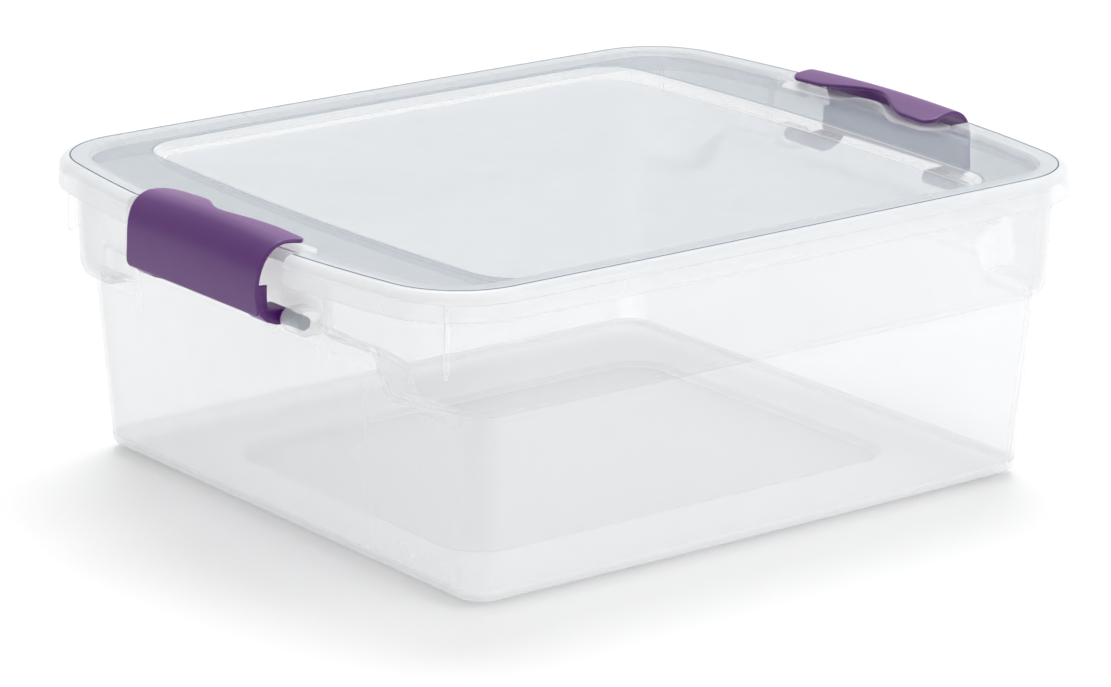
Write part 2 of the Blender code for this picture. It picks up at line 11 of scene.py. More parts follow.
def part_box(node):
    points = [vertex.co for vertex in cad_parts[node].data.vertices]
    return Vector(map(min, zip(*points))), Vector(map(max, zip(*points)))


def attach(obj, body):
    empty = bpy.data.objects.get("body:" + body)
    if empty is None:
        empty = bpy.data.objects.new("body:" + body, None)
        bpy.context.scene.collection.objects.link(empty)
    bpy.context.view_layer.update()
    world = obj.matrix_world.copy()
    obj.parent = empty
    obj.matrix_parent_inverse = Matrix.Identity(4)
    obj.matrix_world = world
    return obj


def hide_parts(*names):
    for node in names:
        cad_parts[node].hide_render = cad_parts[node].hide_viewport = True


bl_info = {
    "name": "Stackable Storage Bin",
    "version": (1, 0, 0),
    "blender": (4, 5, 0),
    "location": "View3D > Sidebar > Storage Bin",
    "description": "Builds the tub, the lid and the latches of a clear storage bin",
    "category": "Object",
}

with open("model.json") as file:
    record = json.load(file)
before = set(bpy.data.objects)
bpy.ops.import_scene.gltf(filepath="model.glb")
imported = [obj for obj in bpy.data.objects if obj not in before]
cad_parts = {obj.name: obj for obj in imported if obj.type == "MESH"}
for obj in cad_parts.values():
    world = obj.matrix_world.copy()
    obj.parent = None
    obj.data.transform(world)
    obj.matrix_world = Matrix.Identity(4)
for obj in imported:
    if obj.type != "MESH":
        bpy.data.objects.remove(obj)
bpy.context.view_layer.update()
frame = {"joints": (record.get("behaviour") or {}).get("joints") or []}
JOINTS = {joint["child"]: joint for joint in frame["joints"]}
LATCH_PIVOT = Vector(JOINTS["latch_right"]["pos_m"])
LID_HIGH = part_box("lid")[1]
LATCH_BODIES = {"latch_left": math.pi, "latch_right": 0.0}


class BIN_PG_tub(bpy.types.PropertyGroup):
    """Sizes of the tub."""

    wall: bpy.props.FloatProperty(
        name="Wall", description="Thickness of the tub's walls",
        default=0.002, unit="LENGTH",
    )
    bead: bpy.props.FloatProperty(
        name="Bead", description="How far the top bead stands out",
        default=0.0032, unit="LENGTH",
    )
    fin_thickness: bpy.props.FloatProperty(
        name="Fin Thickness", description="Thickness of each corner fin",
        default=0.0022, unit="LENGTH",
    )
    fin_height: bpy.props.FloatProperty(
        name="Fin Height", description="Height of each corner fin",
        default=0.035, unit="LENGTH",
    )
    plastic: bpy.props.FloatVectorProperty(
        name="Plastic", description="Colour of the clear tub",
        default=(0.97, 0.975, 0.985), subtype="COLOR",
    )
    # Painted shade: the tub's faces with painted shade and its painted dark lines take this colour.
    shadow: bpy.props.FloatVectorProperty(
        name="Shadow", description="Colour of the tub's dark lines",
        default=(0.3, 0.34, 0.38), subtype="COLOR",
    )


class BIN_PG_lid(bpy.types.PropertyGroup):
    """Sizes of the lid."""

    wall: bpy.props.FloatProperty(
        name="Wall", description="Thickness of the lid",
        default=0.0018, unit="LENGTH",
    )
    skirt: bpy.props.FloatProperty(
        name="Skirt", description="Depth of the lid's skirt",
        default=0.0145, unit="LENGTH",
    )
    recess: bpy.props.FloatProperty(
        name="Recess", description="Depth of the stacking recess",
        default=0.0062, unit="LENGTH",
    )
    land: bpy.props.FloatProperty(
        name="Land", description="Height of the raised land round each latch's lip",
        default=0.0011, unit="LENGTH",
    )
    plastic: bpy.props.FloatVectorProperty(
        name="Plastic", description="Colour of the clear lid",
        default=(0.86, 0.88, 0.9), subtype="COLOR",
    )
    # Painted shade: the lid's faces with painted shade and its painted dark line take this colour.
    shadow: bpy.props.FloatVectorProperty(
        name="Shadow", description="Colour of the lid's dark lines",
        default=(0.12, 0.19, 0.26), subtype="COLOR",
    )


class BIN_PG_latch(bpy.types.PropertyGroup):
    """Sizes of the latches."""

    wall: bpy.props.FloatProperty(
        name="Wall", description="Thickness of the latch's plate",
        default=0.002, unit="LENGTH",
    )
    pin: bpy.props.FloatProperty(
        name="Pin", description="Diameter of the hinge pins",
        default=0.0061, unit="LENGTH",
    )
    plastic: bpy.props.FloatVectorProperty(
        name="Plastic", description="Colour of the latches",
        default=(0.085, 0.006, 0.15), subtype="COLOR",
    )
    # Painted sheen: the latches' colour turns to this where they are seen edge on.
    painted_sheen: bpy.props.FloatVectorProperty(
        name="Glance", description="Colour of the latches seen edge on",
        default=(0.24, 0.09, 0.31), subtype="COLOR",
    )


class BIN_PG_stage(bpy.types.PropertyGroup):
    """Floor, light and camera."""

    floor: bpy.props.FloatVectorProperty(
        name="Floor", description="Colour of the floor",
        default=(0.94, 0.94, 0.94), subtype="COLOR",
    )
    light: bpy.props.FloatProperty(
        name="Light", description="Strength of the surrounding light",
        default=0.8, min=0.0, subtype="FACTOR",
    )
    heading: bpy.props.FloatProperty(
        name="Heading", description="Direction the camera looks in, from +Y towards +X",
        default=math.radians(38.2345), subtype="ANGLE",
    )
    pitch: bpy.props.FloatProperty(
        name="Pitch", description="How far the camera looks down",
        default=math.radians(16.853), subtype="ANGLE",
    )
    roll: bpy.props.FloatProperty(
        name="Roll", description="Turn of the camera about its view",
        default=math.radians(0.662), subtype="ANGLE",
    )
    lens: bpy.props.FloatProperty(
        name="Lens", description="Focal length in millimetres",
        default=160.56, unit="CAMERA",
    )


# Sizes shared by the pieces, in metres, as the CAD model has them
HALF_LENGTH = 0.21
HALF_WIDTH = LID_HIGH.y - 0.0075
RIM_TOP = LID_HIGH.z
RIM_CORNER = 0.0406
END_BOW = 0.0116
SIDE_BOW = 0.001
FIELD = RIM_TOP - 0.0033
BAND_LENGTH = 0.2035
BAND_WIDTH = HALF_WIDTH + 0.00075
BAND_CORNER = 0.038
BAND_TOP = RIM_TOP - 0.0021
BAND_BOW = 0.009
FOOT_HEIGHT = 0.003
FILLET = 0.0038
WALL_TOP = 0.088
LEDGE_DROP = 0.0019
RECESS_BOW = 0.005
# How far in along X and Y each outline lies, and its corner radius
RECESS_INSET = (0.052, 0.012, 0.025)
WALL_INSET = (0.027, 0.0015, 0.016)
BASE_INSET = (0.0316, 0.0087, 0.0145)
FOOT_INSET = (0.0711, 0.0647, 0.02)
# The pin sockets, and how far each bore runs behind and ahead of a socket's middle
PIN_CLEARANCE = 0.00035
SOCKET_START = 0.0575
SOCKET_LENGTH = 0.0135
BORE_BEHIND = 0.0068
BORE_AHEAD = 0.0043
# Half widths of a latch, the height of its waist, and the wave of its lip
LATCH_HALF = 0.0555
WAIST_DEPTH = 0.0015
WAIST_HEIGHT = 0.014
LIP_HALF = 0.056
LIP_DIP = 0.0028
LIP_DIP_Y = -0.003
LIP_LOBE_Y = 0.036
LIP_CORNER = 0.0075
# Refraction of the plastics, and the middle range of a noise
PLASTIC_IOR = 1.49
MID_NOISE = (0.3, 0.7)
CAMERA_PLACE = (-1.4615, -1.8494, 0.7747)
SENSOR_WIDTH = 36.0
# Tone of each kind of face: its colour from the dark painted-shade colour (0) to the plastic's own
# colour (1), and how much more it hides; values below 1 are painted shade, and the densest white
# faces are painted highlights
CLEAR = (1.0, 0.0)
WALL_TONE = (1.0, 0.015)
# Painted shade: the upper band of the tub a little darker.
BAND_PAINTED_SHADE = (0.82, 0.02)
FAINT = (1.0, 0.05)
MILKY = (1.0, 0.12)
# Painted highlight: dense white faces on fillets, edges, the recess wall and the rim's rounded
# edge.
PAINTED_HIGHLIGHT = (1.0, 0.3)
# Frosted foot panel, with painted shade making it a little darker.
FOOT_FROST_AND_SHADE = (0.84, 0.16)
# Painted shade: the lid's field much darker.
FIELD_PAINTED_SHADE = (0.2, 0.16)
# Frosted recess floor, with painted shade making it darker.
RECESS_FROST_AND_SHADE = (0.6, 0.16)
# Painted shade on the rim's inner shoulder.
SHOULDER_PAINTED_SHADE = (0.75, 0.2)
# Painted shade: a dark line in the groove on the rim, and inside the pin bores.
PAINTED_DARK_LINE = (0.0, 0.8)
# Painted shade on the top edge of the recess.
EDGE_PAINTED_SHADE = (0.25, 0.4)
LAND_TONE = (1.0, 0.1)


def rise(value, start, end):
    """Smooth step from 0 at start to 1 at end."""
    share = min(max((value - start) / (end - start), 0.0), 1.0)
    return share * share * (3.0 - 2.0 * share)


def end_places():
    """Places across half of an end: close together where the shape changes."""
    places = [0.0025 * step for step in range(23)]
    places += [0.0565 + 0.001 * step for step in range(12)]
    places += [0.0695 + 0.0015 * step for step in range(8)]
    places += [0.0845 + 0.003 * step for step in range(7)]
    places += [0.105 + 0.0015 * step for step in range(10)]
    return places


END_PLACES = end_places()


def outline(half_x, half_y, corner, end_bow=0.0, side_bow=0.0):
    """Closed outline of a rounded, slightly bowed rectangle."""
    end_tilt = math.atan2(2.0 * end_bow, half_y - corner)
    side_tilt = math.atan2(2.0 * side_bow, half_x - corner)
    centre_x = half_x - end_bow - corner * math.cos(end_tilt)
    centre_y = half_y - side_bow - corner * math.cos(side_tilt)
    end_y = centre_y + corner * math.sin(end_tilt)
    end_x = centre_x + corner * math.sin(side_tilt)
    squeeze = min(1.0, 0.985 * end_y / END_PLACES[-1])
    quarter = []
    for place in END_PLACES:
        y = place * squeeze
        quarter.append((half_x - end_bow * (y / end_y) ** 2, y))
    steps = 22
    for step in range(steps + 1):
        angle = end_tilt + (math.pi / 2 - side_tilt - end_tilt) * step / steps
        x, y = centre_x + corner * math.cos(angle), centre_y + corner * math.sin(angle)
        quarter.append((x, y))
    steps = 10
    for step in range(steps - 1, -1, -1):
        x = end_x * step / steps
        quarter.append((x, half_y - side_bow * (x / end_x) ** 2))
    points = list(quarter)
    points += [(-x, y) for x, y in reversed(quarter[:-1])]
    points += [(-x, -y) for x, y in quarter[1:]]
    points += [(x, -y) for x, y in reversed(quarter[1:-1])]
    return points


def rim_outline(reach):
    """Outline of the lid at a distance outside its crease."""
    return outline(HALF_LENGTH + reach, HALF_WIDTH + reach, RIM_CORNER + reach, END_BOW, SIDE_BOW)


def inset_outline(half_x, half_y, inset, reach, end_bow=0.0, side_bow=0.0):
    """Outline that lies inside two half sizes."""
    in_x, in_y, corner = inset
    return outline(
        half_x - in_x + reach, half_y - in_y + reach, corner + reach, end_bow, side_bow
    )


def recess_outline(reach):
    """Outline of the stacking recess at a distance outside its top edge."""
    return inset_outline(HALF_LENGTH, HALF_WIDTH, RECESS_INSET, reach, RECESS_BOW, SIDE_BOW)


def band_outline(reach, lean):
    """Outline of the tub's upper band; lean is 0 at its foot and 1 at its top."""
    half_x = BAND_LENGTH + 0.0026 * lean + reach
    half_y = BAND_WIDTH + 0.0004 * lean + reach
    return outline(half_x, half_y, BAND_CORNER + reach, BAND_BOW + 0.0013 * lean, SIDE_BOW)


def wall_outline(reach):
    """Outline of the top of the tapered walls."""
    return inset_outline(BAND_LENGTH, BAND_WIDTH, WALL_INSET, reach, side_bow=SIDE_BOW)


def base_outline(reach):
    """Outline of the base at a distance outside the foot of its walls."""
    return inset_outline(BAND_LENGTH, BAND_WIDTH, BASE_INSET, reach, side_bow=SIDE_BOW)


def foot_outline(reach):
    """Outline of the foot panel under the base."""
    return inset_outline(BAND_LENGTH, BAND_WIDTH, FOOT_INSET, reach)


def shares_at_ends(half, blend):
    """1 in the middle of each end, 0 beyond a half width and along the sides."""
    shares = []
    for x, y in rim_outline(0.0):
        share = 1.0 - rise(abs(y), half - blend / 2, half + blend / 2)
        shares.append(share if abs(x) > 0.11 else 0.0)
    return shares


NOTCH = shares_at_ends(0.0625, 0.005)
BAY = shares_at_ends(0.077, 0.007)
SHELF = shares_at_ends(0.113, 0.01)


def between(low, high, share):
    """Ring part of the way from one ring to another."""
    return [a.lerp(b, share) for a, b in zip(low, high)]


def mixed(plain, special, shares):
    """Ring between a plain ring and its special form."""
    return [a.lerp(b, share) for a, b, share in zip(plain, special, shares)]


def level(points, height):
    """Flat ring at a height."""
    return [Vector((x, y, height)) for x, y in points]


def smoothed(mesh, degrees=32):
    """Shade smooth, keeping true edges sharp."""
    mesh.shade_smooth()
    mesh.set_sharp_from_angle(angle=math.radians(degrees))


def with_tone(mesh, shade, cover):
    """Note on every face its painted light and shade, as how far its colour goes from the
    painted-shade colour to the plastic's own, and how much it hides.
    """
    for name, value in (("shade", shade), ("cover", cover)):
        layer = mesh.attributes.new(name, "FLOAT", "FACE")
        layer.data.foreach_set("value", [value] * len(mesh.polygons))
    return mesh


def ring_shell(name, rings, tones):
    """Closed wall from a run of rings, capped at both ends, with a tone of painted light and shade
    for each band.
    """
    mesh = bpy.data.meshes.new(name)
    work = bmesh.new()
    shade = work.faces.layers.float.new("shade")
    cover = work.faces.layers.float.new("cover")
    rows = [[work.verts.new(point) for point in ring] for ring in rings]

    def face(corners, tone):
        made = work.faces.new(corners)
        made[shade], made[cover] = tone

    for lower, upper, tone in zip(rows, rows[1:], tones):
        for index in range(len(lower)):
            after = (index + 1) % len(lower)
            face((lower[index], lower[after], upper[after], upper[index]), tone)
    for row, tone in ((rows[0], tones[0]), (rows[-1], tones[-1])):
        centre = work.verts.new((0.0, 0.0, sum(vertex.co.z for vertex in row) / len(row)))
        for index in range(len(row)):
            face((row[index], row[(index + 1) % len(row)], centre), tone)
    bmesh.ops.recalc_face_normals(work, faces=work.faces)
    work.to_mesh(mesh)
    work.free()
    return mesh


def placed(name, mesh, material):
    """Put a mesh in the scene with its material."""
    piece = bpy.data.objects.new(name, mesh)
    bpy.context.scene.collection.objects.link(piece)
    if material is not None:
        mesh.materials.clear()
        mesh.materials.append(material)
    return piece


def closed_prism(work, profile, start_y, end_y):
    """Add a closed prism along Y, with a profile of X and Z points."""
    near, far = ([work.verts.new((x, y, z)) for x, z in profile] for y in (start_y, end_y))
    work.faces.new(near)
    work.faces.new(list(reversed(far)))
    for index in range(len(profile)):
        after = (index + 1) % len(profile)
        work.faces.new((near[index], near[after], far[after], far[index]))


def rounded_solid(name, profile, start_y, end_y, radius, segments=3):
    """Closed prism along Y with its end edges rounded."""
    mesh = bpy.data.meshes.new(name)
    work = bmesh.new()
    closed_prism(work, profile, start_y, end_y)
    bmesh.ops.recalc_face_normals(work, faces=work.faces)
    if radius > 0.0:
        rims = []
        for edge in work.edges:
            if abs(edge.verts[0].co.y - edge.verts[1].co.y) < 1e-7:
                rims.append(edge)
        bmesh.ops.bevel(
            work, geom=rims, offset=radius, segments=segments, affect="EDGES", profile=0.5
        )
    work.to_mesh(mesh)
    work.free()
    return mesh


def circle(radius, segments, centre=(0.0, 0.0)):
    """Points of a circle in X and Z."""
    turn = 2.0 * math.pi / segments
    return [
        (centre[0] + radius * math.cos(turn * step), centre[1] + radius * math.sin(turn * step))
        for step in range(segments)
    ]


def evaluated_mesh(piece, modifier):
    """Plain mesh of a piece with its modifier, which is then removed."""
    depsgraph = bpy.context.evaluated_depsgraph_get()
    depsgraph.update()
    mesh = bpy.data.meshes.new_from_object(piece.evaluated_get(depsgraph))
    piece.modifiers.remove(modifier)
    return mesh


def merged(name, pieces, tone):
    """One object that holds the meshes of several, with a tone for all their faces."""
    work = bmesh.new()
    for piece in pieces:
        work.from_mesh(piece.data)
    mesh = bpy.data.meshes.new(name)
    material = pieces[0].data.materials[0]
    work.to_mesh(mesh)
    work.free()
    for piece in pieces:
        bpy.data.objects.remove(piece)
    return placed(name, with_tone(mesh, *tone), material)


def combined(piece, tool, operation):
    """Join another solid to a piece or cut it out."""
    modifier = piece.modifiers.new("solid", "BOOLEAN")
    modifier.operation = operation
    modifier.solver = "EXACT"
    modifier.object = tool
    old = piece.data
    piece.data = evaluated_mesh(piece, modifier)
    bpy.data.meshes.remove(old)
    bpy.data.objects.remove(tool)


# ---------------------------------------------------------------- materials


def node_of(tree, kind, **values):
    """Add a node and set its inputs by name."""
    node = tree.nodes.new(kind)
    for name, value in values.items():
        node.inputs[name.replace("_", " ")].default_value = value
    return node


def fresh_material(name):
    """New material with a Principled shader."""
    material = bpy.data.materials.new(name)
    material.use_nodes = True
    return material, material.node_tree, material.node_tree.nodes["Principled BSDF"]


def noise(tree, coordinates, scale, detail=2.0):
    """Noise on object coordinates."""
    node = node_of(tree, "ShaderNodeTexNoise", Scale=scale, Detail=detail)
    tree.links.new(coordinates, node.inputs["Vector"])
    return node.outputs["Fac"]


def remap(tree, value, low, high, to_low, to_high):
    """Map a value from one range to another."""
    node = tree.nodes.new("ShaderNodeMapRange")
    for index, amount in enumerate((low, high, to_low, to_high)):
        node.inputs[index + 1].default_value = amount
    tree.links.new(value, node.inputs[0])
    return node.outputs[0]


def maths(tree, operation, first, second):
    """Combine two values; a number may stand for either."""
    node = tree.nodes.new("ShaderNodeMath")
    node.operation = operation
    for index, value in enumerate((first, second)):
        if isinstance(value, (int, float)):
            node.inputs[index].default_value = value
        else:
            tree.links.new(value, node.inputs[index])
    return node.outputs[0]


def clear_plastic(name, colour, dark, see_face, see_edge):
    """Milky clear plastic, denser where seen edge on; each face carries its own tone of painted
    light and shade, mixing its colour from the dark painted-shade colour to the plastic's.
    """
    material, tree, shader = fresh_material(name)
    shader.inputs["IOR"].default_value = PLASTIC_IOR
    shader.inputs["Specular IOR Level"].default_value = 0.5
    coordinates = tree.nodes.new("ShaderNodeTexCoord").outputs["Object"]
    given = {}
    for field in ("shade", "cover"):
        attribute = tree.nodes.new("ShaderNodeAttribute")
        attribute.attribute_name = field
        given[field] = attribute.outputs["Fac"]
    cloud = noise(tree, coordinates, 14.0, 3.0)
    grain = noise(tree, coordinates, 1400.0, 2.0)
    # Painted shade: each face's shade value mixes the base colour from the dark colour to the
    # plastic's colour.
    blend = tree.nodes.new("ShaderNodeMix")
    blend.data_type = "RGBA"
    tree.links.new(given["shade"], blend.inputs["Factor"])
    blend.inputs["A"].default_value = (*dark, 1.0)
    blend.inputs["B"].default_value = (*colour, 1.0)
    tree.links.new(blend.outputs["Result"], shader.inputs["Base Color"])
    facing = node_of(tree, "ShaderNodeLayerWeight", Blend=0.32).outputs["Facing"]
    density = remap(tree, facing, 0.0, 1.0, see_face, see_edge)
    density = maths(tree, "ADD", density, remap(tree, cloud, *MID_NOISE, -0.012, 0.012))
    density = maths(tree, "ADD", density, given["cover"])
    tree.links.new(maths(tree, "MINIMUM", density, 0.97), shader.inputs["Alpha"])
    rough = remap(tree, cloud, *MID_NOISE, 0.11, 0.17)
    rough = maths(tree, "ADD", rough, maths(tree, "MULTIPLY", given["cover"], 0.6))
    tree.links.new(rough, shader.inputs["Roughness"])
    bump = node_of(tree, "ShaderNodeBump", Strength=0.12, Distance=0.0002)
    ripple = noise(tree, coordinates, 18.0, 2.0)
    fine, broad = maths(tree, "MULTIPLY", grain, 0.08), maths(tree, "MULTIPLY", ripple, 0.2)
    surface = maths(tree, "ADD", fine, broad)
    tree.links.new(surface, bump.inputs["Height"])
    tree.links.new(bump.outputs["Normal"], shader.inputs["Normal"])
    return material


def latch_plastic(name, colour, painted_sheen):
    """Satin purple plastic with a fine spark-eroded grain, and a painted sheen: its colour turns
    lighter where it is seen edge on.
    """
    material, tree, shader = fresh_material(name)
    shader.inputs["IOR"].default_value = PLASTIC_IOR
    shader.inputs["Specular IOR Level"].default_value = 0.6
    coordinates = tree.nodes.new("ShaderNodeTexCoord").outputs["Object"]
    fine = noise(tree, coordinates, 2400.0, 3.0)
    cloud = noise(tree, coordinates, 60.0, 2.0)
    blend = tree.nodes.new("ShaderNodeMix")
    blend.data_type = "RGBA"
    blend.inputs["A"].default_value = (*[channel * 0.85 for channel in colour], 1.0)
    blend.inputs["B"].default_value = (*[channel * 1.15 for channel in colour], 1.0)
    speckle, patch = maths(tree, "MULTIPLY", fine, 0.6), maths(tree, "MULTIPLY", cloud, 0.4)
    weight = maths(tree, "ADD", speckle, patch)
    tree.links.new(weight, blend.inputs["Factor"])
    # Painted sheen: the base colour turns towards the lighter colour where the latch is seen edge
    # on.
    sheen = tree.nodes.new("ShaderNodeMix")
    sheen.data_type = "RGBA"
    facing = node_of(tree, "ShaderNodeLayerWeight", Blend=0.5).outputs["Facing"]
    tree.links.new(remap(tree, facing, 0.5, 0.95, 0.0, 1.0), sheen.inputs["Factor"])
    tree.links.new(blend.outputs["Result"], sheen.inputs["A"])
    sheen.inputs["B"].default_value = (*painted_sheen, 1.0)
    tree.links.new(sheen.outputs["Result"], shader.inputs["Base Color"])
    tree.links.new(remap(tree, fine, *MID_NOISE, 0.27, 0.4), shader.inputs["Roughness"])
    bump = node_of(tree, "ShaderNodeBump", Strength=0.35, Distance=0.0001)
    tree.links.new(fine, bump.inputs["Height"])
    tree.links.new(bump.outputs["Normal"], shader.inputs["Normal"])
    return material


def floor_paint(name, colour):
    """Matt pale floor."""
    material, _, shader = fresh_material(name)
    shader.inputs["Base Color"].default_value = (*colour, 1.0)
    shader.inputs["Roughness"].default_value = 0.9
    shader.inputs["Specular IOR Level"].default_value = 0.1
    return material


# ---------------------------------------------------------------- geometry nodes


def four_corners_tree(name):
    """Node tree that sets a part at four corners, turned to face out, as one mesh."""
    tree = bpy.data.node_groups.new(name, "GeometryNodeTree")
    for label, kind in (
        ("Geometry", "Geometry"), ("Part", "Object"), ("Half Spacing X", "Float"),
        ("Half Spacing Y", "Float"), ("Splay", "Float"), ("Height", "Float"),
        ("Material", "Material"),
    ):
        tree.interface.new_socket(label, in_out="INPUT", socket_type="NodeSocket" + kind)
    tree.interface.new_socket("Geometry", in_out="OUTPUT", socket_type="NodeSocketGeometry")
    nodes, links = tree.nodes, tree.links
    given = nodes.new("NodeGroupInput")
    result = nodes.new("NodeGroupOutput")

    grid = nodes.new("GeometryNodeMeshGrid")
    grid.inputs["Vertices X"].default_value = 2
    grid.inputs["Vertices Y"].default_value = 2
    for axis in "XY":
        spacing = maths(tree, "MULTIPLY", given.outputs["Half Spacing " + axis], 2.0)
        links.new(spacing, grid.inputs["Size " + axis])
    lift = nodes.new("ShaderNodeCombineXYZ")
    links.new(given.outputs["Height"], lift.inputs["Z"])
    move = nodes.new("GeometryNodeSetPosition")
    links.new(grid.outputs["Mesh"], move.inputs["Geometry"])
    links.new(lift.outputs["Vector"], move.inputs["Offset"])
    place = nodes.new("GeometryNodeInputPosition")
    parts = nodes.new("ShaderNodeSeparateXYZ")
    links.new(place.outputs["Position"], parts.inputs[0])
    side_x = maths(tree, "SIGN", parts.outputs["X"], 0.0)
    side_y = maths(tree, "SIGN", parts.outputs["Y"], 0.0)
    half_turn = maths(tree, "MULTIPLY", maths(tree, "SUBTRACT", 1.0, side_x), math.pi / 2)
    splay = maths(tree, "MULTIPLY", maths(tree, "MULTIPLY", side_x, side_y), given.outputs["Splay"])
    turn = nodes.new("ShaderNodeCombineXYZ")
    links.new(maths(tree, "ADD", half_turn, splay), turn.inputs["Z"])
    rotation = nodes.new("FunctionNodeEulerToRotation")
    links.new(turn.outputs["Vector"], rotation.inputs["Euler"])
    part = nodes.new("GeometryNodeObjectInfo")
    part.transform_space = "ORIGINAL"
    links.new(given.outputs["Part"], part.inputs["Object"])
    copies = nodes.new("GeometryNodeInstanceOnPoints")
    links.new(move.outputs["Geometry"], copies.inputs["Points"])
    links.new(part.outputs["Geometry"], copies.inputs["Instance"])
    links.new(rotation.outputs["Rotation"], copies.inputs["Rotation"])
    real = nodes.new("GeometryNodeRealizeInstances")
    links.new(copies.outputs["Instances"], real.inputs["Geometry"])
    paint = nodes.new("GeometryNodeSetMaterial")
    links.new(real.outputs["Geometry"], paint.inputs["Geometry"])
    links.new(given.outputs["Material"], paint.inputs["Material"])
    links.new(paint.outputs["Geometry"], result.inputs["Geometry"])
    return tree


def through_tree(piece, tree, **inputs):
    """Run a node tree on a piece and return the result as a plain mesh."""
    modifier = piece.modifiers.new(tree.name, "NODES")
    modifier.node_group = tree
    names = {
        item.name: item.identifier
        for item in tree.interface.items_tree
        if item.item_type == "SOCKET" and item.in_out == "INPUT"
    }
    for name, value in inputs.items():
        modifier[names[name.replace("_", " ")]] = value
    return evaluated_mesh(piece, modifier)


def at_four_corners(name, part_mesh, half_x, half_y, splay, height, material):
    """Solid made of a part set at four corners."""
    part = placed(name + "_part", part_mesh, material)
    carrier = placed(name, bpy.data.meshes.new(name), material)
    mesh = through_tree(
        carrier, four_corners_tree(name), Part=part, Half_Spacing_X=half_x,
        Half_Spacing_Y=half_y, Splay=splay, Height=height, Material=material,
    )
    carrier.data = mesh
    bpy.data.objects.remove(part)
    return carrier


# ---------------------------------------------------------------- tub


def band_ring(reach, lean, height, bay_reach, bay_height):
    """Ring of the upper band, set back in the bay behind each latch."""
    plain = level(band_outline(reach, lean), height)
    bay = level(band_outline(bay_reach - 0.0042, lean), bay_height)
    return mixed(plain, bay, BAY)


def shelf_ring(share, height, latch_height, reach):
    """Ring between the tapered walls and the band, raised beside each latch."""
    foot = band_ring(reach, 0.0, height, reach, height)
    walls = level(wall_outline(reach), height)
    middle = between(walls, foot, share)
    raised = [Vector((point.x, point.y, latch_height)) for point in middle]
    return mixed(middle, raised, SHELF)


def shelf_steps():
    """Share outwards and two heights for each ring of the shelf."""
    steps = [(0.0, WALL_TOP, 0.101), (0.0, 0.0915, 0.1045), (0.02, 0.0938, 0.1068)]
    steps += [(0.06, 0.0947, 0.1077), (0.12, 0.0951, 0.1085), (0.35, 0.0954, 0.1118)]
    steps.append((0.6, 0.0955, 0.1152))
    for step in range(9):
        angle = math.radians(6 + 84 * step / 8)
        lift = 1.0 - math.cos(angle)
        share = 0.62 + 0.38 * math.sin(angle)
        steps.append((share, 0.0955 + 0.011 * lift, 0.1155 + 0.0055 * lift))
    return steps


def tub_tones(rings):
    """Tone of each band of the tub: frosted foot panel with painted shade, painted highlights on
    the fillets and edges, clear walls, and painted shade on the upper band.
    """
    tones = []
    for lower, upper in zip(rings, rings[1:]):
        height = (lower[0].z + upper[0].z) / 2
        rising = abs(upper[0].z - lower[0].z)
        if height < 0.0052:
            tones.append(FOOT_FROST_AND_SHADE if rising < 0.0004 and height < 0.0027 else PAINTED_HIGHLIGHT)
        elif height < 0.0078:
            tones.append(PAINTED_HIGHLIGHT)
        elif height > BAND_TOP - 0.0075:
            tones.append(MILKY)
        elif 0.0945 < height < 0.1075:
            tones.append(FAINT)
        else:
            tones.append(WALL_TONE if height < 0.1 else BAND_PAINTED_SHADE)
    return tones


